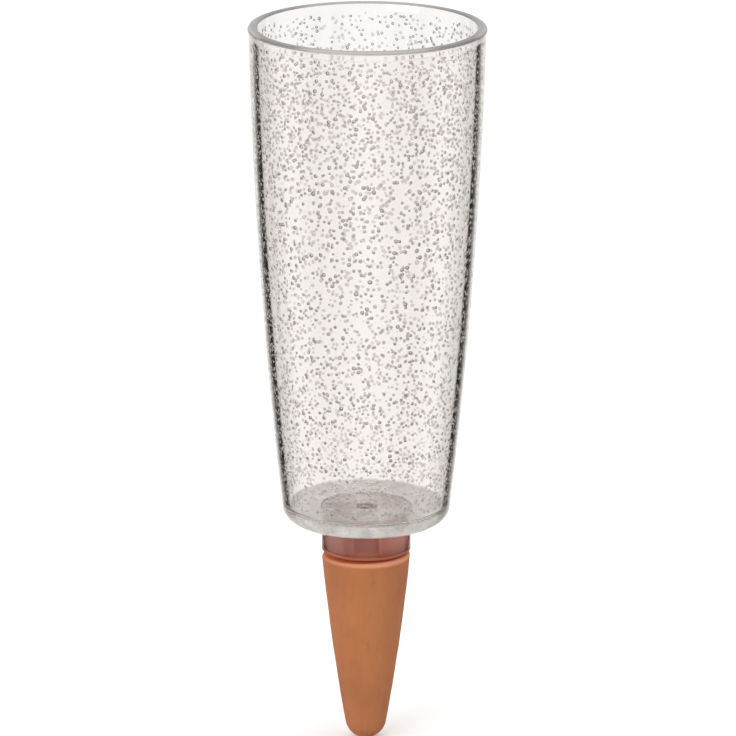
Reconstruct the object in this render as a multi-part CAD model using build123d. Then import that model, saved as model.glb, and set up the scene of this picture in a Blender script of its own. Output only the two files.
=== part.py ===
from build123d import *
from math import cos, radians, sin, sqrt
import os

# Self-watering spike: an open, tapered clear cup that holds the water, a clear collar let into
# the cup's floor, and a hollow porous clay cone whose neck is bonded inside the collar.
# Water runs through the hole in the collar's top into the cone and seeps into the soil.
# Millimetres. The axis is Z. The origin is the centre of the cup's underside, which lies on the
# soil when the spike is in use, so the cup is above it and the collar and cone are below it.

# Reservoir cup
rim_radius = 45.0
cup_height = 193.1
base_radius = 31.45
side_bulge = 2.4
rim_wall = 3.75
mid_wall = 3.4
base_wall = 3.0
floor_thickness = 5.8
base_corner_radius = 5.8
floor_corner_radius = 2.0
rim_rounding = 1.0
lip_overhang = 0.35
lip_height = 1.4
lip_taper = 2.0
lip_rounding = 1.5

# Collar
collar_radius = 17.1
collar_bore_radius = 10.5
collar_drop = 12.2
collar_setback = 0.4
collar_rounding = 0.5
water_hole_radius = 4.0

# Cement that fixes the collar in the floor, and the cone's neck in the collar
floor_bond_gap = 0.25
neck_bond_gap = 0.5

# Clay cone
neck_setback = 2.5
neck_clearance = 0.3
neck_rounding = 0.6
shoulder_gap = 1.7
shoulder_radius = 17.1
shoulder_rounding = 1.3
clay_wall = 4.2
cone_length = 75.1
nose_radius = 8.0
nose_slope_degrees = 10.0
hollow_rounding = 2.0

# Heights that follow from the sizes above
mid_height = cup_height / 2
lip_bottom = cup_height - lip_height
lip_root = lip_bottom - lip_taper
collar_top = floor_thickness - collar_setback
collar_bottom = -collar_drop
neck_top = floor_thickness - neck_setback
bore_top = neck_top + neck_clearance
shoulder_height = collar_bottom - shoulder_gap
nose_centre = shoulder_height - cone_length + nose_radius
hollow_top = shoulder_height - clay_wall

# Radii that follow from the sizes above
side_radius = rim_radius - lip_overhang
mid_radius = (side_radius + base_radius) / 2 + side_bulge
floor_hole_radius = collar_radius + floor_bond_gap
neck_radius = collar_bore_radius - neck_bond_gap
mouth_radius = neck_radius - clay_wall


def spot(radius, height):
    """A point of a half section, in the XZ plane."""
    return Vector(radius, 0, height)


def path(*spots):
    """Straight edges from each spot to the next."""
    return [Line(a, b) for a, b in zip(spots, spots[1:])]


def turned(edges):
    """The solid that a closed half section makes when it is turned about Z."""
    return revolve(make_face(edges), Axis.Z)


def ring(inner, outer, low, high):
    """A plain tube about Z."""
    a, b, c, d = spot(inner, low), spot(outer, low), spot(outer, high), spot(inner, high)
    return turned(path(a, b, c, d, a))


def rounded(solid, radius, *rims):
    """The solid with a fillet on the circular edge nearest to each (radius, height) pair."""
    circles = solid.edges().filter_by(GeomType.CIRCLE)
    chosen = []
    for rim, height in rims:
        chosen.append(
            min(circles, key=lambda e: abs(e.radius - rim) + abs(e.arc_center.Z - height))
        )
    return fillet(chosen, radius)


def bowl_radius(height):
    """The radius of the cup's swelling outside at a height."""
    side = ThreePointArc(
        spot(side_radius, cup_height), spot(mid_radius, mid_height), spot(base_radius, 0)
    )
    rise = height - side.arc_center.Z
    return side.arc_center.X + sqrt(side.radius**2 - rise**2)


def reservoir_cup():
    """The clear cup: a swelling wall with a slight lip, a thick floor, and the collar's hole."""
    floor_edge = bowl_radius(floor_thickness) - base_wall
    rim_out = spot(rim_radius, cup_height)
    rim_in = spot(rim_radius - rim_wall, cup_height)
    foot_out = spot(base_radius, 0)
    foot_in = spot(floor_edge, floor_thickness)
    under_lip = spot(bowl_radius(lip_root), lip_root)
    outside = ThreePointArc(under_lip, spot(mid_radius, mid_height), foot_out)
    inside = ThreePointArc(rim_in, spot(mid_radius - mid_wall, mid_height), foot_in)
    hole_low = spot(floor_hole_radius, 0)
    hole_high = spot(floor_hole_radius, floor_thickness)
    floor = path(foot_out, hole_low, hole_high, foot_in)
    lip = path(rim_in, rim_out, spot(rim_radius, lip_bottom), under_lip)
    cup = turned([outside, inside, *lip, *floor])
    cup = rounded(cup, base_corner_radius, (base_radius, 0))
    cup = rounded(cup, floor_corner_radius, (floor_edge, floor_thickness))
    cup = rounded(cup, lip_rounding, (rim_radius, lip_bottom))
    return rounded(
        cup, rim_rounding, (rim_radius, cup_height), (rim_radius - rim_wall, cup_height)
    )


def neck_collar():
    """The clear collar: a sleeve for the cone's neck, closed on top but for the water's hole."""
    corners = [
        spot(water_hole_radius, bore_top),
        spot(collar_bore_radius, bore_top),
        spot(collar_bore_radius, collar_bottom),
        spot(collar_radius, collar_bottom),
        spot(collar_radius, collar_top),
        spot(water_hole_radius, collar_top),
    ]
    collar = turned(path(*corners, corners[0]))
    return rounded(
        collar,
        collar_rounding,
        (collar_radius, collar_bottom),
        (water_hole_radius, collar_top),
    )


def floor_bond():
    """The thin ring of clear cement between the collar and the hole in the floor."""
    return ring(collar_radius, floor_hole_radius, 0, collar_top)


def neck_bond():
    """The ring of sealant that holds the clay neck in the collar and keeps the joint tight."""
    return ring(neck_radius, collar_bore_radius, collar_bottom, neck_top - neck_rounding)


def nose_spot(radius, slope):
    """The point of a nose of this radius where its side leans in by slope degrees."""
    lean = radians(slope)
    return spot(radius * cos(lean), nose_centre - radius * sin(lean))


def cone_outline(inset):
    """The cone's side and its round nose, moved in by inset and meeting without a corner."""
    radius = nose_radius - inset
    start = nose_spot(radius, nose_slope_degrees)
    halfway = nose_spot(radius, (nose_slope_degrees + 90) / 2)
    nose = ThreePointArc(spot(0, nose_centre - radius), halfway, start)
    top = spot(shoulder_radius - inset, shoulder_height - inset)
    lean = radians(nose_slope_degrees)
    side = TangentArc(start, top, tangent=spot(sin(lean), cos(lean)))
    return nose, side


def clay_cone():
    """The clay cone: a narrow open neck, a square shoulder and one wall thickness all over."""
    nose, side = cone_outline(0)
    inner_nose, inner_side = cone_outline(clay_wall)
    neck = path(
        side @ 1,
        spot(neck_radius, shoulder_height),
        spot(neck_radius, neck_top),
        spot(mouth_radius, neck_top),
        spot(mouth_radius, hollow_top),
        inner_side @ 1,
    )
    tip = path(nose @ 0, inner_nose @ 0)
    cone = turned([nose, side, *neck, inner_side, inner_nose, *tip])
    cone = rounded(cone, shoulder_rounding, (shoulder_radius, shoulder_height))
    cone = rounded(cone, neck_rounding, (neck_radius, neck_top), (mouth_radius, neck_top))
    hollow_edge = (shoulder_radius - clay_wall, hollow_top)
    return rounded(cone, hollow_rounding, hollow_edge, (mouth_radius, hollow_top))


os.makedirs("parts", exist_ok=True)
pieces = {
    "reservoir_cup": reservoir_cup(),
    "neck_collar": neck_collar(),
    "floor_bond": floor_bond(),
    "neck_bond": neck_bond(),
    "clay_cone": clay_cone(),
}
for name, piece in pieces.items():
    export_step(piece, f"parts/{name}.step")
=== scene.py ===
import math
import random
from collections import namedtuple

import bmesh
import bpy
import numpy as np
from mathutils import Matrix, Vector, noise


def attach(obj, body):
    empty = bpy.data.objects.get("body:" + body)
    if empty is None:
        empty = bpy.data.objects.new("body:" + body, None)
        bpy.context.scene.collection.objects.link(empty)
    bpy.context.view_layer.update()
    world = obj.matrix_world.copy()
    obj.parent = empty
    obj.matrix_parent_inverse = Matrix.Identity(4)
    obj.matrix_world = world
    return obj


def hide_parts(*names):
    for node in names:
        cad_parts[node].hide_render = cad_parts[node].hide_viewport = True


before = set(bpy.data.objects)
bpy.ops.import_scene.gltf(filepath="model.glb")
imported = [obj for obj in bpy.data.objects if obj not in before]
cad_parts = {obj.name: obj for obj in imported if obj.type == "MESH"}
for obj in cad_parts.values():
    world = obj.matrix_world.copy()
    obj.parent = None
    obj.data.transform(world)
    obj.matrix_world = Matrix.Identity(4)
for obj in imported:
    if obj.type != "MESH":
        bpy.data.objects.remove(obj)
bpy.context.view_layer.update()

# Looks for the self-watering spike: a clear cup full of small air bubbles, a clear collar let
# into its floor, and a terracotta cone whose neck is sealed inside the collar.
# Sizes are millimetres and repeat the solids' own; MM turns them into metres.
MM = 0.001
BODY = "root"

# Reservoir cup
RIM_RADIUS = 45.0
CUP_HEIGHT = 193.1
BASE_RADIUS = 31.45
SIDE_BULGE = 2.4
RIM_WALL = 3.75
MID_WALL = 3.4
BASE_WALL = 3.0
FLOOR_THICKNESS = 5.8
BASE_CORNER = 5.8
FLOOR_CORNER = 2.0
RIM_ROUNDING = 1.0
LIP_OVERHANG = 0.35
LIP_HEIGHT = 1.4
LIP_TAPER = 2.0
LIP_ROUNDING = 1.5
FLOOR_HOLE = 17.35

# Collar
COLLAR_RADIUS = 17.1
COLLAR_BORE = 10.5
COLLAR_BOTTOM = -12.2
COLLAR_TOP = 5.4
COLLAR_ROUNDING = 0.5
BORE_TOP = 3.6
WATER_HOLE = 4.0

# Cement and sealant: how far they keep off or wet their neighbours, and how deep their ends
# are hollowed, as a share of their width
CEMENT_SLACK = 0.03
CEMENT_DIP = 1 / 2
SEAL_OVERLAP = 0.05
SEAL_TOP = 2.7
SEAL_DIP = 1 / 3

# Clay cone
NECK_RADIUS = 10.0
NECK_TOP = 3.3
NECK_ROUNDING = 0.6
MOUTH_RADIUS = 5.8
SHOULDER_RADIUS = 17.1
SHOULDER = -13.9
SHOULDER_ROUNDING = 1.3
CLAY_WALL = 4.2
NOSE_RADIUS = 8.0
NOSE_CENTRE = -81.0
NOSE_SLOPE = 10.0
HOLLOW_TOP = -18.1
HOLLOW_ROUNDING = 2.0
TIP = NOSE_CENTRE - NOSE_RADIUS

# How finely the turned surfaces are cut. An extra loop of edges beside each sharp corner keeps
# the smooth shading flat there, so that the clear plastic bends no light that it shouldn't.
TURN_SEGMENTS = 256
SIDE_STEPS = 64
CLAY_SIDE_STEPS = 150
CORNER_STEPS = 12
NOSE_STEPS = 24
LIP_STEPS = 4
EDGE_LOOP = 0.35
SHARP_ANGLE = 35

Circle = namedtuple("Circle", "r z radius")
Spot = namedtuple("Spot", "r z")


# Half sections

def circle_through(a, b, c):
    """The circle through three spots."""
    (ax, ay), (bx, by), (cx, cy) = a, b, c
    d = 2 * (ax * (by - cy) + bx * (cy - ay) + cx * (ay - by))
    a2, b2, c2 = ax**2 + ay**2, bx**2 + by**2, cx**2 + cy**2
    r = (a2 * (by - cy) + b2 * (cy - ay) + c2 * (ay - by)) / d
    z = (a2 * (cx - bx) + b2 * (ax - cx) + c2 * (bx - ax)) / d
    return Circle(r, z, math.hypot(ax - r, ay - z))


def circle_leaving(start, slope, end):
    """The circle that leaves start, leaning out by slope degrees, and passes through end."""
    lean = math.radians(slope)
    nr, nz = -math.cos(lean), math.sin(lean)
    dr, dz = end.r - start.r, end.z - start.z
    radius = (dr**2 + dz**2) / (2 * (dr * nr + dz * nz))
    return Circle(start.r + radius * nr, start.z + radius * nz, radius)


def at_height(circle, z):
    """The radius of a swelling side at a height."""
    return circle.r + math.sqrt(circle.radius**2 - (z - circle.z) ** 2)


def corner_on(circle, rounding, z):
    """A rounding's centre at a height, tangent to a side: inside it if rounding is negative."""
    return Spot(at_height(circle._replace(radius=circle.radius + rounding), z), z)


def lean_at(circle, centre):
    """The direction in degrees from a side's centre to a rounding's centre."""
    return math.degrees(math.atan2(centre.z - circle.z, centre.r - circle.r))


def arc(centre, radius, start, end, steps=CORNER_STEPS):
    """Spots along an arc, between two directions in degrees."""
    turns = [math.radians(start + (end - start) * i / steps) for i in range(steps + 1)]
    return [Spot(centre.r + radius * math.cos(t), centre.z + radius * math.sin(t)) for t in turns]


def side(circle, low, high, steps):
    """Spots up a swelling side, strictly between two heights."""
    heights = [low + (high - low) * i / steps for i in range(1, steps)]
    return [Spot(at_height(circle, z), z) for z in heights]


SIDE_RADIUS = RIM_RADIUS - LIP_OVERHANG
MID_RADIUS = (SIDE_RADIUS + BASE_RADIUS) / 2 + SIDE_BULGE
MID_HEIGHT = CUP_HEIGHT / 2
LIP_BOTTOM = CUP_HEIGHT - LIP_HEIGHT
LIP_ROOT = LIP_BOTTOM - LIP_TAPER
CUP_OUTSIDE = circle_through(
    Spot(SIDE_RADIUS, CUP_HEIGHT), Spot(MID_RADIUS, MID_HEIGHT), Spot(BASE_RADIUS, 0)
)
UNDER_LIP = math.atan2(RIM_RADIUS - at_height(CUP_OUTSIDE, LIP_ROOT), LIP_TAPER)
FLOOR_EDGE = at_height(CUP_OUTSIDE, FLOOR_THICKNESS) - BASE_WALL
CUP_INSIDE = circle_through(
    Spot(RIM_RADIUS - RIM_WALL, CUP_HEIGHT),
    Spot(MID_RADIUS - MID_WALL, MID_HEIGHT),
    Spot(FLOOR_EDGE, FLOOR_THICKNESS),
)
FOOT = corner_on(CUP_OUTSIDE, -BASE_CORNER, BASE_CORNER)


def cup_section():
    """The cup's wall and floor, from the rim down the outside and back up the inside."""
    rim_out = Spot(RIM_RADIUS - RIM_ROUNDING, CUP_HEIGHT - RIM_ROUNDING)
    rim_in = corner_on(CUP_INSIDE, RIM_ROUNDING, CUP_HEIGHT - RIM_ROUNDING)
    lip = Spot(RIM_RADIUS - LIP_ROUNDING, LIP_BOTTOM + LIP_ROUNDING * math.tan(UNDER_LIP / 2))
    well = corner_on(CUP_INSIDE, -FLOOR_CORNER, FLOOR_THICKNESS + FLOOR_CORNER)
    rim_curve = arc(rim_out, RIM_ROUNDING, 90, 0)
    lip_curve = arc(lip, LIP_ROUNDING, 0, -math.degrees(UNDER_LIP), LIP_STEPS)
    root = Spot(at_height(CUP_OUTSIDE, LIP_ROOT), LIP_ROOT)
    under = LIP_ROOT - EDGE_LOOP
    lip_root = [
        Spot(root.r + EDGE_LOOP * math.tan(UNDER_LIP), LIP_ROOT + EDGE_LOOP),
        root,
        Spot(at_height(CUP_OUTSIDE, under), under),
    ]
    foot_curve = arc(FOOT, BASE_CORNER, lean_at(CUP_OUTSIDE, FOOT), -90)
    well_curve = arc(well, FLOOR_CORNER, -90, lean_at(CUP_INSIDE, well))
    mouth_curve = arc(rim_in, RIM_ROUNDING, 180 + lean_at(CUP_INSIDE, rim_in), 90)
    outside = side(CUP_OUTSIDE, foot_curve[0].z, LIP_ROOT, SIDE_STEPS)
    inside = side(CUP_INSIDE, well_curve[-1].z, mouth_curve[0].z, SIDE_STEPS)
    below = [
        Spot(FOOT.r - EDGE_LOOP, 0),
        Spot(FLOOR_HOLE + EDGE_LOOP, 0),
        Spot(FLOOR_HOLE, 0),
        Spot(FLOOR_HOLE, FLOOR_THICKNESS),
        Spot(FLOOR_HOLE + EDGE_LOOP, FLOOR_THICKNESS),
        Spot(well.r - EDGE_LOOP, FLOOR_THICKNESS),
    ]
    flat = [
        Spot(rim_in.r + EDGE_LOOP, CUP_HEIGHT),
        Spot(rim_out.r - EDGE_LOOP, CUP_HEIGHT),
    ]
    down = rim_curve + lip_curve + lip_root + outside[::-1] + foot_curve
    return down + below + well_curve + inside + mouth_curve + flat


def collar_section():
    """The clear collar, from its lower outer edge over its holed top and down its bore."""
    low = Spot(COLLAR_RADIUS - COLLAR_ROUNDING, COLLAR_BOTTOM + COLLAR_ROUNDING)
    top = Spot(WATER_HOLE + COLLAR_ROUNDING, COLLAR_TOP - COLLAR_ROUNDING)
    outside = [
        Spot(COLLAR_RADIUS, low.z + EDGE_LOOP),
        Spot(COLLAR_RADIUS, COLLAR_TOP),
        Spot(COLLAR_RADIUS - EDGE_LOOP, COLLAR_TOP),
        Spot(top.r + EDGE_LOOP, COLLAR_TOP),
    ]
    bore = [
        Spot(WATER_HOLE, BORE_TOP),
        Spot(WATER_HOLE + EDGE_LOOP, BORE_TOP),
        Spot(COLLAR_BORE - EDGE_LOOP, BORE_TOP),
        Spot(COLLAR_BORE, BORE_TOP),
        Spot(COLLAR_BORE, COLLAR_BOTTOM),
        Spot(low.r - EDGE_LOOP, COLLAR_BOTTOM),
    ]
    return arc(low, COLLAR_ROUNDING, -90, 0) + outside + arc(top, COLLAR_ROUNDING, 90, 180) + bore


def cement_section():
    """The thin clear ring between the collar and the floor, just clear of both."""
    inner, outer = COLLAR_RADIUS + CEMENT_SLACK, FLOOR_HOLE - CEMENT_SLACK
    middle = (inner + outer) / 2
    dip = (outer - inner) * CEMENT_DIP
    return [
        Spot(inner, 0),
        Spot(middle, dip),
        Spot(outer, 0),
        Spot(outer, COLLAR_TOP),
        Spot(middle, COLLAR_TOP - dip),
        Spot(inner, COLLAR_TOP),
    ]


def seal_section():
    """The sealant round the neck, wetting the collar's bore, with hollowed ends."""
    inner, outer = NECK_RADIUS - SEAL_OVERLAP, COLLAR_BORE + SEAL_OVERLAP
    low = COLLAR_BOTTOM + SEAL_OVERLAP
    middle = (inner + outer) / 2
    dip = (outer - inner) * SEAL_DIP
    return [
        Spot(inner, low),
        Spot(middle, low + dip),
        Spot(outer, low),
        Spot(outer, (low + SEAL_TOP) / 2),
        Spot(outer, SEAL_TOP),
        Spot(middle, SEAL_TOP - dip),
        Spot(inner, SEAL_TOP),
    ]


def clay_section():
    """The clay cone: tip, side, shoulder and neck outside, then the mouth and the hollow."""
    lean = math.radians(NOSE_SLOPE)
    runs = []
    for inset in (0, CLAY_WALL):
        radius = NOSE_RADIUS - inset
        start = Spot(radius * math.cos(lean), NOSE_CENTRE - radius * math.sin(lean))
        top = Spot(SHOULDER_RADIUS - inset, SHOULDER - inset)
        circle = circle_leaving(start, NOSE_SLOPE, top)
        rounding = HOLLOW_ROUNDING if inset else SHOULDER_ROUNDING
        centre = corner_on(circle, -rounding, top.z - rounding)
        curve = arc(centre, rounding, lean_at(circle, centre), 90)
        steps = SIDE_STEPS if inset else CLAY_SIDE_STEPS
        nose = arc(Spot(0, NOSE_CENTRE), radius, -90, -NOSE_SLOPE, NOSE_STEPS)
        nose[0] = Spot(0, nose[0].z)
        runs.append(nose + side(circle, start.z, curve[0].z, steps) + curve)
    neck = [
        Spot(SHOULDER_RADIUS - SHOULDER_ROUNDING - 2 * EDGE_LOOP, SHOULDER),
        Spot(NECK_RADIUS + EDGE_LOOP, SHOULDER),
        Spot(NECK_RADIUS, SHOULDER + EDGE_LOOP),
        Spot(NECK_RADIUS, NECK_TOP - NECK_ROUNDING - EDGE_LOOP),
    ]
    lip = Spot(NECK_RADIUS - NECK_ROUNDING, NECK_TOP - NECK_ROUNDING)
    mouth = Spot(MOUTH_RADIUS + NECK_ROUNDING, NECK_TOP - NECK_ROUNDING)
    throat = Spot(MOUTH_RADIUS + HOLLOW_ROUNDING, HOLLOW_TOP + HOLLOW_ROUNDING)
    neck += arc(lip, NECK_ROUNDING, 0, 90) + arc(mouth, NECK_ROUNDING, 90, 180)
    roof = arc(throat, HOLLOW_ROUNDING, 180, 270)
    return runs[0] + neck + roof + runs[1][::-1]


# Meshes

def placed(name, data):
    """A new object in the scene."""
    made = bpy.data.objects.new(name, data)
    bpy.context.scene.collection.objects.link(made)
    return made


def finished(name, shape, material):
    """Turns a bmesh into a smooth-shaded object with one material."""
    for face in shape.faces:
        face.smooth = True
    mesh = bpy.data.meshes.new(name)
    shape.to_mesh(mesh)
    shape.free()
    mesh.set_sharp_from_angle(angle=math.radians(SHARP_ANGLE))
    mesh.materials.append(material)
    return placed(name, mesh)


def lathe(name, section, closed, material):
    """The surface that a half section sweeps about Z. A spot on the axis becomes one vertex."""
    turns = [2 * math.pi * k / TURN_SEGMENTS for k in range(TURN_SEGMENTS)]
    shape = bmesh.new()
    rings = []
    for r, z in section:
        if r == 0:
            rings.append([shape.verts.new((0, 0, z * MM))])
            continue
        across = r * MM
        rings.append(
            [shape.verts.new((across * math.cos(t), across * math.sin(t), z * MM)) for t in turns]
        )
    pairs = list(zip(rings, rings[1:]))
    if closed:
        pairs.append((rings[-1], rings[0]))
    for low, high in pairs:
        for k in range(TURN_SEGMENTS):
            corners = [low[k % len(low)], low[(k + 1) % len(low)]]
            corners += [high[(k + 1) % len(high)], high[k % len(high)]]
            shape.faces.new(dict.fromkeys(corners))
    bmesh.ops.recalc_face_normals(shape, faces=shape.faces)
    return finished(name, shape, material)


# Bubbles in the plastic: four bands up the wall, each with its number of bubbles and the least
# and most of their radii, and smaller bubbles all over, low in the wall, in the floor and foot
BUBBLE_SEED = 11
BUBBLE_BANDS = (
    (1480, (0.39, 0.72)), (1150, (0.43, 0.78)), (1180, (0.47, 0.87)), (2150, (0.36, 0.78))
)
BUBBLE_LOW = 9.0
BUBBLE_HIGH = CUP_HEIGHT - 4.2
FINE_BUBBLES = 400
FINE_BUBBLE_RADIUS = (0.16, 0.34)
PALE_BELOW = 27.0
LOW_BUBBLES = 550
LOW_BUBBLE_RADIUS = (0.25, 0.5)
FLOOR_BUBBLES = 420
FLOOR_BUBBLE_RADIUS = (0.14, 0.34)
FOOT_BUBBLES = 150
FOOT_BUBBLE_RADIUS = (0.2, 0.5)
FOOT_BUBBLES_FROM = 24.0

# Their form, the plastic left over them, how far they keep apart in their own radii, and the
# grid in which a new bubble looks for its neighbours
BUBBLE_STRETCH = (0.86, 1.2)
BUBBLE_ROUNDNESS = 2
BUBBLE_SKIN = 0.12
BUBBLE_GAP = 2.3
BUBBLE_CELL = 2.2

# Their air: one bubble in so many has a dark ring, and the faint rest bend light only a little
DULL_EVERY = 2
DULL_TINT = (0.72, 0.685, 0.67)
SOFT_TINT = (0.82, 0.79, 0.775)
FAINT_TINT = (0.76, 0.73, 0.715)
PALE_TINT = (0.79, 0.765, 0.75)
BRIGHT_TINT = (0.93, 0.92, 0.90)
FAINT_IOR = 1.06
AIR_ROUGHNESS = 0.15


def ball():
    """Points and triangles of a small round form, as arrays."""
    shape = bmesh.new()
    bmesh.ops.create_icosphere(shape, subdivisions=BUBBLE_ROUNDNESS, radius=1)
    points = np.array([v.co for v in shape.verts])
    faces = np.array([[v.index for v in f.verts] for f in shape.faces])
    shape.free()
    return points, faces


def random_direction(draw):
    """A direction drawn evenly over the sphere."""
    z = draw.uniform(-1, 1)
    turn = draw.uniform(0, 2 * math.pi)
    across = math.sqrt(1 - z * z)
    return Vector((across * math.cos(turn), across * math.sin(turn), z))


def bubble_cloud(name, places, material, draw):
    """One mesh of many closed bubbles, each a little out of round and turned its own way."""
    points, faces = ball()
    clouds = []
    for place, radius in places:
        stretch = np.array([draw.uniform(*BUBBLE_STRETCH) for _ in range(3)])
        turn = np.array(Vector((0, 0, 1)).rotation_difference(random_direction(draw)).to_matrix())
        clouds.append((points * stretch * radius) @ turn.T + place)
    cloud = np.concatenate(clouds) * MM
    steps = (np.arange(len(places)) * len(points))[:, None, None]
    triangles = (faces[None] + steps).reshape(-1, 3)
    mesh = bpy.data.meshes.new(name)
    mesh.from_pydata(cloud.tolist(), [], triangles.tolist())
    mesh.shade_smooth()
    mesh.materials.append(material)
    return placed(name, mesh)


def bubble_reach(radius):
    """How near to the plastic's surface a bubble's centre may lie."""
    return radius * BUBBLE_STRETCH[1] + BUBBLE_SKIN


def wall_bubbles(low, high, count, radii, draw):
    """Places and radii of bubbles in the wall between two heights, none crowding another."""
    places = []
    taken = {}
    while len(places) < count:
        z = draw.uniform(low, high)
        radius = draw.triangular(*radii)
        reach = bubble_reach(radius)
        outside = at_height(CUP_OUTSIDE, z)
        across = draw.uniform(at_height(CUP_INSIDE, z) + reach, outside - reach)
        turn = draw.uniform(0, 2 * math.pi)
        spot = np.array((across * math.cos(turn), across * math.sin(turn), z))
        cell = (int(turn * outside // BUBBLE_CELL), int(z // BUBBLE_CELL))
        around = [(cell[0] + i, cell[1] + j) for i in (-1, 0, 1) for j in (-1, 0, 1)]
        near = [p for c in around for p in taken.get(c, ())]
        if any(np.linalg.norm(spot - p) < BUBBLE_GAP * radius for p in near):
            continue
        taken.setdefault(cell, []).append(spot)
        places.append((spot, radius))
    return places


def floor_bubbles(nearest, count, radii, draw):
    """Places and radii of bubbles in the cup's thick floor, beyond a distance from its axis."""
    places = []
    while len(places) < count:
        radius = draw.triangular(*radii)
        reach = bubble_reach(radius)
        z = draw.uniform(reach, FLOOR_THICKNESS - reach)
        across = draw.uniform(nearest + reach, BASE_RADIUS - reach)
        turn = draw.uniform(0, 2 * math.pi)
        into_corner = math.hypot(max(across - FOOT.r, 0), z - FOOT.z)
        if z < BASE_CORNER and into_corner > BASE_CORNER - reach:
            continue
        places.append((np.array((across * math.cos(turn), across * math.sin(turn), z)), radius))
    return places


# Shader nodes. A cloud is noise by the size of its features in millimetres, its detail, its seed
# and how much it is drawn out along Z: 1 not at all, less is longer. A ramp takes the values
# from low to high to those from to_low to to_high.
Cloud = namedtuple("Cloud", "size detail seed squeeze", defaults=(1,))
Ramp = namedtuple("Ramp", "low high to_low to_high", defaults=(0.0, 1.0))
WHITE = (1, 1, 1)

# The colours' own sockets on a Mix node, which has a set for each kind of data
MIX_SHARE, MIX_A, MIX_B = 0, 6, 7
MIX_RESULT = 2


def node(tree, kind, inputs=None, **settings):
    """Adds a node. Each input is a value, or another node's output to link."""
    made = tree.nodes.new("ShaderNode" + kind)
    for key, value in settings.items():
        setattr(made, key, value)
    for key, value in (inputs or {}).items():
        if isinstance(value, bpy.types.NodeSocket):
            tree.links.new(value, made.inputs[key])
        else:
            made.inputs[key].default_value = value
    return made


def maths(tree, operation, *values):
    """The output of a Math node."""
    return node(tree, "Math", dict(enumerate(values)), operation=operation).outputs[0]


def times(tree, a, b):
    """The product of two values."""
    return maths(tree, "MULTIPLY", a, b)


def highest(tree, a, b):
    """The larger of two values."""
    return maths(tree, "MAXIMUM", a, b)


def remap(tree, value, ramp):
    """A value taken along a ramp, smoothly and held at its ends."""
    inputs = {"Value": value, "From Min": ramp.low, "From Max": ramp.high}
    inputs |= {"To Min": ramp.to_low, "To Max": ramp.to_high}
    return node(tree, "MapRange", inputs, interpolation_type="SMOOTHSTEP").outputs[0]


def with_alpha(colour):
    """The four numbers that a socket takes, for a colour of three. A node's output stays."""
    return colour if isinstance(colour, bpy.types.NodeSocket) else (*colour, 1)


def mixed(tree, share, a, b):
    """The colour a, moved towards b by share."""
    inputs = {MIX_SHARE: share, MIX_A: with_alpha(a), MIX_B: with_alpha(b)}
    return node(tree, "Mix", inputs, data_type="RGBA").outputs[MIX_RESULT]


def millimetres(tree, squeeze=(1, 1, 1)):
    """Object coordinates in millimetres, multiplied along each axis by squeeze."""
    place = node(tree, "TexCoord").outputs["Object"]
    inputs = {"Vector": place, "Scale": tuple(s / MM for s in squeeze)}
    return node(tree, "Mapping", inputs).outputs[0]


def coordinates(tree):
    """A point's X, Y and Z in millimetres."""
    return node(tree, "SeparateXYZ", {"Vector": millimetres(tree)}).outputs


def distance_out(tree):
    """The distance from the object's axis, in millimetres."""
    flat = {0: millimetres(tree, (1, 1, 0))}
    return node(tree, "VectorMath", flat, operation="LENGTH").outputs["Value"]


def cloudy(tree, cloud):
    """A cloud's noise, as a value from 0 to 1."""
    place = millimetres(tree, (1, 1, cloud.squeeze))
    inputs = {"Vector": place, "W": cloud.seed, "Scale": 1 / cloud.size, "Detail": cloud.detail}
    return node(tree, "TexNoise", inputs, noise_dimensions="4D").outputs[0]


def new_material(name, **values):
    """A new material, its tree and its Principled shader, which takes the values."""
    material = bpy.data.materials.new(name)
    material.use_nodes = True
    tree = material.node_tree
    shader = tree.nodes["Principled BSDF"]
    for key, value in values.items():
        shader.inputs[key.replace("_", " ")].default_value = value
    return material, tree, shader


# Clear plastic, and the haze, patches, wisps and flecks where it is milky
PLASTIC_IOR = 1.49
WALL_ROUGHNESS = 0.04
HAZE_ROUGHNESS = 0.4
FLOOR_HAZE = 0.45
FLOOR_TINT = (1.0, 0.98, 0.945)
WISPS, WISP_RAMP = Cloud(3.5, 4.0, 2.0), Ramp(0.3, 0.7, 0.8, 1.0)
PATCHES, PATCH_RAMP = Cloud(9.0, 2.0, 6.0), Ramp(0.4, 0.6, 0.72, 1.12)
FLECKS, FLECK_RAMP = Cloud(0.9, 2.0, 9.0), Ramp(0.5, 0.7, 0.0, 0.7)
FLECK_TINT = (0.50, 0.475, 0.46)


def clear_plastic(name, ior=PLASTIC_IOR, **values):
    """A new clear material, its tree and its shader."""
    return new_material(name, Transmission_Weight=1.0, IOR=ior, **values)


def milky(tree, share, tint):
    """A milky tint with fine flecks in it, and how milky the plastic is."""
    flecks = remap(tree, cloudy(tree, FLECKS), FLECK_RAMP)
    haze = times(tree, share, remap(tree, cloudy(tree, WISPS), WISP_RAMP))
    haze = times(tree, haze, remap(tree, cloudy(tree, PATCHES), PATCH_RAMP))
    return mixed(tree, flecks, tint, FLECK_TINT), times(tree, haze, FLOOR_HAZE)


def make_hazy(tree, shader, tint, haze):
    """Sets the shader's colour, and lowers its clearness where it is milky."""
    tree.links.new(tint, shader.inputs["Base Color"])
    rough = highest(tree, times(tree, haze, HAZE_ROUGHNESS), WALL_ROUGHNESS)
    tree.links.new(rough, shader.inputs["Roughness"])
    tree.links.new(maths(tree, "SUBTRACT", 1.0, haze), shader.inputs["Transmission Weight"])


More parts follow.
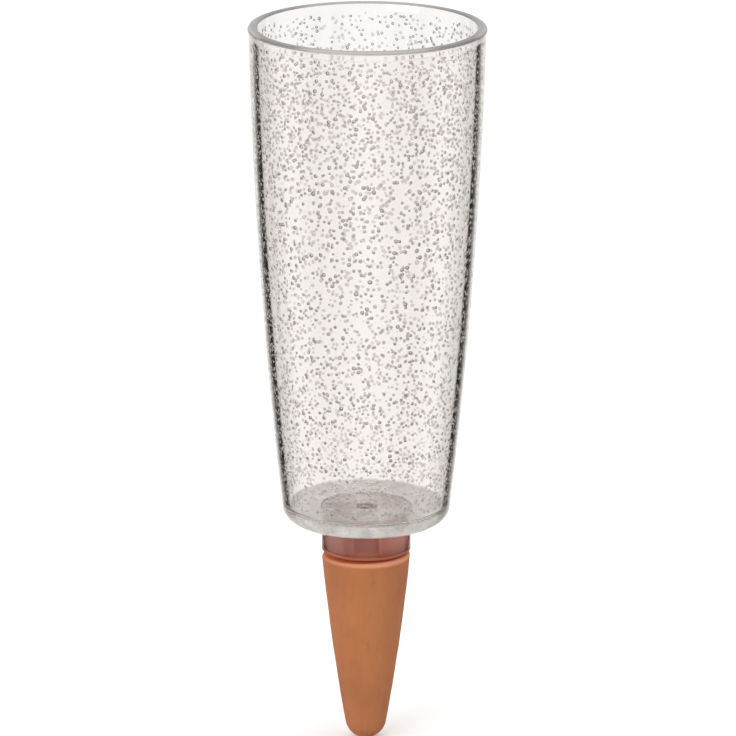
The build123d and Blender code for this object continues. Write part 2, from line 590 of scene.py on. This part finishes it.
# The cup: its milky floor, the foot round that, and the hazy joint at the collar
CUP_TINT = (0.985, 0.963, 0.952)
IN_FLOOR = Ramp(FLOOR_THICKNESS + 1.5, FLOOR_THICKNESS - 0.5)
IN_FOOT = Ramp(FLOOR_EDGE - 1.0, FLOOR_EDGE)
FOOT_TINT = (0.89, 0.85, 0.82)
FOOT_RAMP = Ramp(0, 1, 1.0, 1.1)
AT_JOINT = Ramp(FLOOR_HOLE + 0.5, FLOOR_HOLE + 0.1)
JOINT_HAZE = 0.85

# Its matt rim, which reaches further down outside than inside. It is one grey on the flat top,
# another on the bend and a third under that, and darker in patches at the left and right: painted
# shade for the room's dark corners as the rim shows them.
RIM_HAZE = 0.8
RIM_OUTSIDE = Ramp(CUP_HEIGHT - 1.25, CUP_HEIGHT - 0.85)
RIM_INSIDE = Ramp(CUP_HEIGHT - 0.6, CUP_HEIGHT - 0.25)
PAST_MOUTH = Ramp(RIM_RADIUS - RIM_WALL + 0.8, RIM_RADIUS - RIM_WALL + 1.2)
ON_BEND = Ramp(RIM_RADIUS - RIM_ROUNDING - 0.1, RIM_RADIUS - RIM_ROUNDING + 0.15)
UNDER_BEND = Ramp(CUP_HEIGHT - 0.4, CUP_HEIGHT - 0.6)
RIM_FLAT_TINT = (0.32, 0.305, 0.295)
RIM_BEND_TINT = (0.45, 0.432, 0.42)
RIM_UNDER_TINT = (0.35, 0.335, 0.325)
RIM_PAINTED_SHADE_TINT = (0.16, 0.15, 0.145)
SIDE_CLOUD = Cloud(9.0, 2.0, 4.0)
SIDE_SHIFT = 6.0
SIDE_START = Ramp(21, 32)
SIDE_END = Ramp(46, 41, 0.0, 0.75)


def rim_colour(tree, x, height, across):
    """The rim's greys, with painted shade in patches at the left and right."""
    outer = mixed(tree, remap(tree, height, UNDER_BEND), RIM_BEND_TINT, RIM_UNDER_TINT)
    tint = mixed(tree, remap(tree, across, ON_BEND), RIM_FLAT_TINT, outer)
    # Painted shade at the rim's left and right, standing in for the room's dark corners seen in
    # it
    shift = times(tree, cloudy(tree, SIDE_CLOUD), SIDE_SHIFT)
    aside = maths(tree, "ADD", maths(tree, "ABSOLUTE", x), shift)
    sides = times(tree, remap(tree, aside, SIDE_START), remap(tree, aside, SIDE_END))
    return mixed(tree, sides, tint, RIM_PAINTED_SHADE_TINT)


def cup_material():
    """Clear cast plastic: polished walls, a matt rim, and a floor milky with fine bubbles."""
    material, tree, shader = clear_plastic("clear_cup")
    x, _, height = coordinates(tree)
    across = distance_out(tree)
    low = remap(tree, height, IN_FLOOR)
    foot = remap(tree, across, IN_FOOT)
    share = times(tree, low, remap(tree, foot, FOOT_RAMP))
    milk, haze = milky(tree, share, mixed(tree, foot, FLOOR_TINT, FOOT_TINT))
    upper = highest(tree, remap(tree, height, RIM_INSIDE), remap(tree, across, PAST_MOUTH))
    rim = times(tree, remap(tree, height, RIM_OUTSIDE), upper)
    tint = mixed(tree, low, CUP_TINT, milk)
    tint = mixed(tree, rim, tint, rim_colour(tree, x, height, across))
    joint = times(tree, low, remap(tree, across, AT_JOINT))
    haze = highest(tree, haze, times(tree, rim, RIM_HAZE))
    haze = highest(tree, haze, times(tree, joint, JOINT_HAZE))
    make_hazy(tree, shader, tint, haze)
    return material


def bubble_material(name, tint, ior=PLASTIC_IOR):
    """Air in the plastic, a little dulled: light bends the other way as it enters."""
    colour = with_alpha(tint)
    return clear_plastic(name, 1 / ior, Base_Color=colour, Roughness=AIR_ROUGHNESS)[0]


# The collar: milky where it is in the floor, most at its top and pinkish over the sealant,
# with wisps in the clear part and clay dust on its lower end, which also paints the clay's orange
# reflection there. The cement is milky all over.
COLLAR_TINTS = ((0.97, 0.95, 0.94), (0.93, 0.91, 0.91))
COLLAR_WISPS = Cloud(4.0, 3.0, 5.0)
COLLAR_IN_FLOOR = Ramp(1.0, 3.0)
AT_TOP = Ramp(COLLAR_TOP - 0.7, COLLAR_TOP - 0.3)
TOP_RAMP = Ramp(0, 1, 1.0, 1.9)
OVER_SEAL = Ramp(COLLAR_BORE + 2.6, COLLAR_BORE + 0.8)
PINK_MILK = (1.0, 0.93, 0.895)
IN_DUST_AND_REFLECTION = Ramp(COLLAR_BOTTOM + 1.25, COLLAR_BOTTOM + 1.1)
DUST_AND_REFLECTION_TINT = (0.40, 0.09, 0.028)
DUST_AND_REFLECTION_HAZE = 0.8
CEMENT_SHARE = 0.9


def collar_material():
    """Clear tube, a little less clear than the cup's wall."""
    material, tree, shader = clear_plastic("clear_collar")
    height = coordinates(tree)["Z"]
    high = remap(tree, height, COLLAR_IN_FLOOR)
    over_seal = remap(tree, distance_out(tree), OVER_SEAL)
    milk, haze = milky(tree, high, mixed(tree, over_seal, FLOOR_TINT, PINK_MILK))
    haze = times(tree, haze, remap(tree, remap(tree, height, AT_TOP), TOP_RAMP))
    clear = mixed(tree, cloudy(tree, COLLAR_WISPS), *COLLAR_TINTS)
    # Dust and painted reflection: the orange of the clay below is painted on the collar's lower
    # end, with the dust
    dust_and_reflection = remap(tree, height, IN_DUST_AND_REFLECTION)
    tint = mixed(tree, dust_and_reflection, mixed(tree, high, clear, milk), DUST_AND_REFLECTION_TINT)
    make_hazy(tree, shader, tint, highest(tree, haze, times(tree, dust_and_reflection, DUST_AND_REFLECTION_HAZE)))
    return material


def cement_material():
    """Clear cement, slightly milky."""
    material, tree, shader = clear_plastic("clear_cement")
    milk, haze = milky(tree, CEMENT_SHARE, FLOOR_TINT)
    make_hazy(tree, shader, milk, haze)
    return material


# The sealant's tints: its body, paler patches, a red lower end, and where it is thin at +X. At
# -X it is thick. A cloud shifts both borders, and there is less red where it is thick or thin.
SEAL_TINTS = ((0.50, 0.13, 0.094), (0.67, 0.275, 0.23), (0.76, 0.21, 0.075), (0.86, 0.32, 0.235))
SEAL_ROUGHNESS = 0.7
SEAL_CLOUD = Cloud(7.0, 2.0, 3.0, 0.3)
SEAL_PATCH_RAMP = Ramp(0.4, 0.7, 0.0, 0.45)
SEAL_SHIFT = 0.8
SEAL_THICK = Ramp(-3.2, -3.9, 0.0, 0.8)
SEAL_THIN = Ramp(4.0, 5.0)
THIN_SHARE = 0.8
RED_END = Ramp(COLLAR_BOTTOM + 3.0, COLLAR_BOTTOM + 0.9)
RED_RAMP = Ramp(0.0, 0.8, 1.0, 0.25)


def seal_material():
    """Milky sealant over clay dust, uneven in thickness."""
    material, tree, shader = new_material("neck_sealant", Roughness=SEAL_ROUGHNESS)
    x, _, height = coordinates(tree)
    body, patch, red_end, thin_part = SEAL_TINTS
    patches = cloudy(tree, SEAL_CLOUD)
    smear = maths(tree, "ADD", x, times(tree, patches, SEAL_SHIFT))
    thick = remap(tree, smear, SEAL_THICK)
    thin = remap(tree, smear, SEAL_THIN)
    share = maths(tree, "ADD", thick, remap(tree, patches, SEAL_PATCH_RAMP))
    tint = mixed(tree, thin, mixed(tree, share, body, patch), thin_part)
    pale = highest(tree, thick, times(tree, thin, THIN_SHARE))
    red = times(tree, remap(tree, height, RED_END), remap(tree, pale, RED_RAMP))
    tree.links.new(mixed(tree, red, tint, red_end), shader.inputs["Base Color"])
    return material


# The clay's body and the tints of its blotches, pale streaks and dark grain
CLAY_TINTS = (
    (0.41, 0.145, 0.051), (0.36, 0.122, 0.044), (0.45, 0.165, 0.058), (0.33, 0.108, 0.040)
)
BLOTCHES, BLOTCH_RAMP = Cloud(13.0, 3.0, 8.0, 0.6), Ramp(0.42, 0.66)
STREAKS, STREAK_RAMP = Cloud(4.5, 3.0, 1.0, 0.16), Ramp(0.45, 0.75, 0.0, 0.5)
GRAIN, GRAIN_RAMP = Cloud(0.35, 5.0, 6.0), Ramp(0.35, 0.75, 0.0, 0.35)
CLAY_ROUGHNESS = Ramp(0.3, 0.7, 0.82, 0.96)
GRAIN_BUMP = 0.35
GRAIN_DEPTH = 0.12

# Brown smudges, and scuffs near the tip
SMUDGE_TINT = (0.22, 0.062, 0.022)
SMUDGES, SMUDGE_RAMP = Cloud(5.0, 4.0, 12.0, 0.3), Ramp(0.60, 0.74, 0.0, 0.4)
SCUFFS, SCUFF_RAMP = Cloud(1.4, 3.0, 5.0), Ramp(0.5, 0.66)
NEAR_TIP = Ramp(TIP + 8, TIP + 0.5, 0.0, 0.85)

# The shoulder's edge, worn and with a painted highlight; its top, painted bright red as painted
# light in the shaded gap under the collar; and the neck's smear of sealant, made paler as painted
# light
WORN_HIGHLIGHT_TINT = (0.74, 0.31, 0.17)
WORN_HIGHLIGHT_SHIFT = 0.6
WORN_HIGHLIGHT_EDGE = Ramp(SHOULDER - 1.6, SHOULDER + 0.1, 0.0, 0.9)
PAINTED_GAP_TINT = (0.85, 0.24, 0.085)
PAINTED_GAP_ABOVE = SHOULDER - 1.0
PAINTED_GAP_WITHIN = Ramp(16.2, 15.4)
SMEAR_PAINTED_LIGHT_TINT = (0.95, 0.84, 0.80)
SMEAR_PAINTED_LIGHT_RANGE = Ramp(SHOULDER + 3, NECK_TOP - 3)


def clay_material():
    """Fired terracotta: a worn shoulder with a painted highlight, broad mottling, brown smudges
    and a fine grain.
    """
    material, tree, shader = new_material("terracotta")
    height = coordinates(tree)["Z"]
    grain = cloudy(tree, GRAIN)
    body, blotch, pale, dark_grain = CLAY_TINTS
    tint = mixed(tree, remap(tree, cloudy(tree, BLOTCHES), BLOTCH_RAMP), body, blotch)
    tint = mixed(tree, remap(tree, cloudy(tree, STREAKS), STREAK_RAMP), tint, pale)
    tint = mixed(tree, remap(tree, grain, GRAIN_RAMP), tint, dark_grain)
    tint = mixed(tree, remap(tree, cloudy(tree, SMUDGES), SMUDGE_RAMP), tint, SMUDGE_TINT)
    scuffs = remap(tree, cloudy(tree, SCUFFS), SCUFF_RAMP)
    scuffs = times(tree, scuffs, remap(tree, height, NEAR_TIP))
    tint = mixed(tree, scuffs, tint, SMUDGE_TINT)
    # Painted highlight: the shoulder's rounded edge is paler, partly for wear and partly for the
    # light on it
    edge = maths(tree, "ADD", height, times(tree, grain, WORN_HIGHLIGHT_SHIFT))
    tint = mixed(tree, remap(tree, edge, WORN_HIGHLIGHT_EDGE), tint, WORN_HIGHLIGHT_TINT)
    # Painted light: the shoulder's top under the collar is a bright red, so that the shaded gap
    # there shows lighter and warm
    painted_gap = maths(tree, "GREATER_THAN", height, PAINTED_GAP_ABOVE)
    painted_gap = times(tree, painted_gap, remap(tree, distance_out(tree), PAINTED_GAP_WITHIN))
    tint = mixed(tree, painted_gap, tint, PAINTED_GAP_TINT)
    # The neck's smear of sealant, made paler as painted light where little light reaches inside
    # the collar
    tint = mixed(tree, remap(tree, height, SMEAR_PAINTED_LIGHT_RANGE), tint, SMEAR_PAINTED_LIGHT_TINT)
    tree.links.new(tint, shader.inputs["Base Color"])
    tree.links.new(remap(tree, grain, CLAY_ROUGHNESS), shader.inputs["Roughness"])
    bumps = {"Height": grain, "Strength": GRAIN_BUMP, "Distance": GRAIN_DEPTH * MM}
    tree.links.new(node(tree, "Bump", bumps).outputs[0], shader.inputs["Normal"])
    return material


# The clay's own unevenness: waves by length and depth, sunk so that they hardly stand out of
# the solid, pits, and a shoulder tilted along X and Y, which straightens further down
CLAY_SEED = 5
WAVES = ((14.0, 0.10), (5.0, 0.05), (1.6, 0.02))
WAVES_SUNK = 0.45
PITS = 150
PIT_RADIUS = (0.35, 0.9)
PIT_DEPTH = (0.04, 0.13)
SHOULDER_TILT = (0.036, -0.028)
TILT_FADE = 16.0


def press_clay(cone):
    """Makes the turned cone uneven, as pressed clay is, except where its neck is in the seal."""
    draw = random.Random(CLAY_SEED)
    mesh = cone.data
    points = np.array([v.co for v in mesh.vertices]) / MM
    normals = np.array([n.vector for n in mesh.vertex_normals])
    moves = np.zeros(len(points))
    for length, depth in WAVES:
        for i, p in enumerate(points):
            moves[i] += depth * (noise.noise(Vector(p) / length) - WAVES_SUNK)
    height = points[:, 2]
    across = np.hypot(points[:, 0], points[:, 1])
    round_axis = np.arctan2(points[:, 1], points[:, 0])
    for _ in range(PITS):
        z = draw.uniform(TIP, SHOULDER)
        turn = draw.uniform(0, 2 * math.pi)
        radius = draw.uniform(*PIT_RADIUS)
        depth = draw.uniform(*PIT_DEPTH)
        near = np.abs(height - z) < radius
        near &= across > MOUTH_RADIUS + CLAY_WALL / 2
        aside = across * np.abs(np.angle(np.exp(1j * (round_axis - turn))))
        gap = np.hypot(aside, height - z)
        dent = np.clip(1 - (gap / radius) ** 2, 0, 1) ** 2
        moves -= np.where(near, depth * dent, 0)
    in_neck = (across < NECK_RADIUS + EDGE_LOOP) & (height > SHOULDER - EDGE_LOOP)
    moves[in_neck] = 0
    moved = points + normals * moves[:, None]
    fade = np.clip(1 - (SHOULDER - height) / TILT_FADE, 0, 1)
    fade[across < NECK_RADIUS + EDGE_LOOP / 2] = 0
    moved[:, 2] += points[:, :2] @ SHOULDER_TILT * fade
    mesh.vertices.foreach_set("co", (moved * MM).ravel())
    mesh.update()


# The floor: half its width in metres, its squares, its colour and faint mottle, and how much
# brighter the camera sees it, so that it meets the white behind
FLOOR_REACH = 3.0
FLOOR_SQUARES = 8
FLOOR_COLOUR = (0.93, 0.93, 0.925)
FLOOR_MOTTLE = Cloud(60.0, 3.0, 0.0)
MOTTLE_SHADE = 0.99
FLOOR_ROUGHNESS = 0.9
FLOOR_LIFT = 0.12


def stage_floor():
    """A pale floor under the tip."""
    material, tree, shader = new_material("pale_floor", Roughness=FLOOR_ROUGHNESS)
    darker = tuple(c * MOTTLE_SHADE for c in FLOOR_COLOUR)
    tint = mixed(tree, cloudy(tree, FLOOR_MOTTLE), FLOOR_COLOUR, darker)
    tree.links.new(tint, shader.inputs["Base Color"])
    lift = times(tree, node(tree, "LightPath").outputs["Is Camera Ray"], FLOOR_LIFT)
    glow = node(tree, "Emission", {"Strength": lift})
    both = node(tree, "AddShader", {0: shader.outputs[0], 1: glow.outputs[0]})
    tree.links.new(both.outputs[0], tree.nodes["Material Output"].inputs["Surface"])
    shape = bmesh.new()
    bmesh.ops.create_grid(
        shape, x_segments=FLOOR_SQUARES, y_segments=FLOOR_SQUARES, size=FLOOR_REACH
    )
    for v in shape.verts:
        v.co.z = TIP * MM
    floor = finished("stage_floor", shape, material)
    floor.visible_glossy = False
    floor.visible_transmission = False


# The world's strength, for what lights the object and for what is seen
WORLD_LEVEL = Ramp(0, 1, 0.85, 1.0)

# The room that the plastic reflects. Its shades go by how near a direction is to one of the
# room's four corners, 0 at the middle of a wall and 1 in a corner, for light turned back inside
# the cup's wall and for light reflected by its skin. A corner's heart is light again, and other
# light gets one even shade.
GREY_WARMTH = (1, 0.985, 0.95)
ROOM_SHADE = (0.72, 0.70, 0.685)
WALL_SHADES = (
    (0.0, 1.0), (0.19, 1.0), (0.39, 0.95), (0.56, 0.92), (0.675, 0.71), (0.77, 0.265),
    (0.835, 0.045), (0.89, 0.0)
)
SKIN_SHADES = ((0.0, 0.95), (0.52, 0.95), (0.70, 0.78), (0.82, 0.58), (0.89, 0.34), (0.97, 0.06))
CORNER_HEART = Ramp(0.968, 0.988)
HEART_SHADE = (0.7, 0.69, 0.665)
OVERHEAD = Ramp(0.55, 0.85)
OVERHEAD_SHADE = (0.72, 0.72, 0.71)

# Steeper light meets wider corners. Light turned back inside the wall comes from a band of
# directions below the horizon, between these two ramps of Z.
STEEP_WIDENING = Ramp(0.225, 0.30, -0.04, 0.30)
BAND_TOP = Ramp(-0.10, -0.17)
BAND_BOTTOM = Ramp(-0.44, -0.36)

# How often light has passed a surface, as a middle and how far either side of it may be: twice,
# into the wall and out, and twice more for a bubble on the way. A bubble lightens the dark line.
WALL_PASSES = (3, 1.5)
BUBBLE_PASSES = (4, 0.5)
BUBBLE_BREAK = 0.42

# Light's bounces and passes are whole numbers, and this tells none from one or more
ONE_OR_MORE = 0.5

# Keeps a division off zero straight up and down
OFF_ZERO = 0.0001


def shades(tree, place, stops):
    """A warm grey that follows a row of (place, shade) stops."""
    ramp = node(tree, "ValToRGB", {"Fac": place})
    elements = ramp.color_ramp.elements
    for position, _ in stops[1:-1]:
        elements.new(position)
    for element, (position, shade) in zip(elements, stops):
        element.position = position
        element.color = (*(shade * c for c in GREY_WARMTH), 1)
    return ramp.outputs[0]


def studio_world():
    """White all round, as the glass sees it, with darker sides for light that has reflected.

    A clear wall turns light back at its inner skin, from further round the room the deeper it
    is. The room's four dark corners then draw the dark line inside each edge of the cup, and
    the bubbles that lie in front of it break it up.
    """
    world = bpy.data.worlds.new("studio")
    bpy.context.scene.world = world
    world.use_nodes = True
    tree = world.node_tree
    path = node(tree, "LightPath").outputs
    passes = path["Transmission Depth"]
    direction = node(tree, "TexCoord").outputs["Generated"]
    x, y, z = node(tree, "SeparateXYZ", {"Vector": direction}).outputs
    slope = maths(tree, "ABSOLUTE", z)
    level = maths(tree, "SUBTRACT", 1 + OFF_ZERO, times(tree, z, z))
    corner = maths(tree, "DIVIDE", times(tree, x, y), level)
    corner = maths(tree, "ABSOLUTE", times(tree, corner, 2))
    wider = maths(tree, "ADD", corner, remap(tree, slope, STEEP_WIDENING))

    heart = remap(tree, corner, CORNER_HEART)
    wall = mixed(tree, heart, shades(tree, wider, WALL_SHADES), HEART_SHADE)
    through_bubble = maths(tree, "COMPARE", passes, *BUBBLE_PASSES)
    wall = mixed(tree, times(tree, through_bubble, BUBBLE_BREAK), wall, ROOM_SHADE)
    in_wall = maths(tree, "COMPARE", passes, *WALL_PASSES)
    in_band = times(tree, remap(tree, z, BAND_TOP), remap(tree, z, BAND_BOTTOM))
    room = mixed(tree, times(tree, in_wall, in_band), ROOM_SHADE, wall)
    on_skin = maths(tree, "LESS_THAN", passes, ONE_OR_MORE)
    room = mixed(tree, on_skin, room, shades(tree, corner, SKIN_SHADES))
    room = mixed(tree, remap(tree, slope, OVERHEAD), room, OVERHEAD_SHADE)

    seen = highest(tree, path["Is Glossy Ray"], path["Is Transmission Ray"])
    seen = highest(tree, seen, path["Is Camera Ray"])
    seen = times(tree, seen, maths(tree, "LESS_THAN", path["Diffuse Depth"], ONE_OR_MORE))
    turned_back = maths(tree, "GREATER_THAN", path["Glossy Depth"], ONE_OR_MORE)
    colour = mixed(tree, times(tree, seen, turned_back), WHITE, room)
    bright = highest(tree, seen, path["Is Transmission Ray"])
    background = tree.nodes["Background"]
    tree.links.new(colour, background.inputs["Color"])
    tree.links.new(remap(tree, bright, WORLD_LEVEL), background.inputs["Strength"])


# Each lamp's name, place and width in metres, and power in watts
LAMPS = (
    ("front_softbox", (-1.25, -1.65, 0.75), 1.3, 16.5),
    ("top_softbox", (0.1, 0.2, 1.7), 1.4, 7.0),
)


def softboxes():
    """Large soft lamps, aimed at the object."""
    for name, place, width, power in LAMPS:
        lamp = bpy.data.lights.new(name, "AREA")
        lamp.shape = "SQUARE"
        lamp.size = width
        lamp.energy = power
        held = placed(name, lamp)
        held.location = place
        held.rotation_euler = (-Vector(place)).to_track_quat("-Z", "Y").to_euler()
        held.visible_camera = False


# The photograph's view: the camera's place in metres, how far it looks down and how far it is
# turned in degrees, its lens and sensor in millimetres, and how far it sees in metres
CAMERA_PLACE = (0.00053, -2.175, 0.6793)
CAMERA_DIP = 15.90
CAMERA_ROLL = 0.15
CAMERA_LENS = 290.0
CAMERA_SENSOR = 36
CAMERA_SIGHT = 20


def photo_camera():
    """The camera, looking a little down at the cup."""
    camera = bpy.data.cameras.new("photo_view")
    camera.lens = CAMERA_LENS
    camera.sensor_width = CAMERA_SENSOR
    camera.clip_end = CAMERA_SIGHT
    held = placed("photo_view", camera)
    held.location = CAMERA_PLACE
    aim = Matrix.Rotation(math.radians(90 - CAMERA_DIP), 3, "X")
    roll = Matrix.Rotation(math.radians(CAMERA_ROLL), 3, "Z")
    held.rotation_euler = (aim @ roll).to_euler()
    bpy.context.scene.camera = held


def stand_for(piece, slot, *nodes):
    """Puts a piece on the body and hides the CAD nodes that it stands for. Its finish is not
    used.
    """
    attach(piece, BODY)
    if nodes:
        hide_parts(*nodes)


def turned_pieces():
    """The cup, the collar, the cone and what joins them."""
    cup = lathe("cup_wall", cup_section(), True, cup_material())
    stand_for(cup, "bubbled_clear_plastic", "reservoir_cup")
    collar = lathe("collar_tube", collar_section(), True, collar_material())
    stand_for(collar, "clear_plastic", "neck_collar")
    cement = lathe("floor_cement", cement_section(), True, cement_material())
    stand_for(cement, "clear_cement", "floor_bond")
    seal = lathe("neck_seal", seal_section(), True, seal_material())
    stand_for(seal, "sealant", "neck_bond")
    cone = lathe("clay_spike", clay_section(), False, clay_material())
    press_clay(cone)
    stand_for(cone, "terracotta", "clay_cone")


def bubbles():
    """All the bubbles in the cup. In the top band the ringed ones are paler, and low down all."""
    dull = bubble_material("dull_air", DULL_TINT)
    soft = bubble_material("soft_air", SOFT_TINT)
    faint = bubble_material("faint_air", FAINT_TINT, FAINT_IOR)
    pale = bubble_material("pale_air", PALE_TINT, FAINT_IOR)
    bright = bubble_material("bright_air", BRIGHT_TINT)
    draw = random.Random(BUBBLE_SEED)
    rise = (BUBBLE_HIGH - BUBBLE_LOW) / len(BUBBLE_BANDS)
    clouds = []
    low_down = []
    for band, (count, radii) in enumerate(BUBBLE_BANDS, 1):
        low = BUBBLE_LOW + (band - 1) * rise
        places = wall_bubbles(low, low + rise, count, radii, draw)
        low_down += [place for place in places if place[0][2] < PALE_BELOW]
        places = [place for place in places if place[0][2] >= PALE_BELOW]
        ringed = soft if band == len(BUBBLE_BANDS) else dull
        clouds.append((f"dull_bubbles_{band}", places[::DULL_EVERY], ringed))
        others = [place for i, place in enumerate(places) if i % DULL_EVERY]
        clouds.append((f"faint_bubbles_{band}", others, faint))
    places = wall_bubbles(BUBBLE_LOW, BUBBLE_HIGH, FINE_BUBBLES, FINE_BUBBLE_RADIUS, draw)
    clouds.append(("fine_bubbles", places, faint))
    low_down += wall_bubbles(BUBBLE_LOW, PALE_BELOW, LOW_BUBBLES, LOW_BUBBLE_RADIUS, draw)
    clouds.append(("low_bubbles", low_down, pale))
    places = floor_bubbles(FLOOR_HOLE, FLOOR_BUBBLES, FLOOR_BUBBLE_RADIUS, draw)
    clouds.append(("floor_bubbles", places, bright))
    places = floor_bubbles(FOOT_BUBBLES_FROM, FOOT_BUBBLES, FOOT_BUBBLE_RADIUS, draw)
    clouds.append(("foot_bubbles", places, dull))
    for name, places, air in clouds:
        stand_for(bubble_cloud(name, places, air, draw), "bubbled_clear_plastic")


# How often light may turn or pass before it is given up: glass in glass needs many
MAX_BOUNCES = 32
GLOSSY_BOUNCES = 24
TRANSMISSION_BOUNCES = 32


def main():
    """Makes the pieces, the stage, the light and the camera."""
    scene = bpy.context.scene
    scene.view_settings.view_transform = "Standard"
    scene.cycles.max_bounces = MAX_BOUNCES
    scene.cycles.glossy_bounces = GLOSSY_BOUNCES
    scene.cycles.transmission_bounces = TRANSMISSION_BOUNCES
    turned_pieces()
    bubbles()
    stage_floor()
    studio_world()
    softboxes()
    photo_camera()


main()
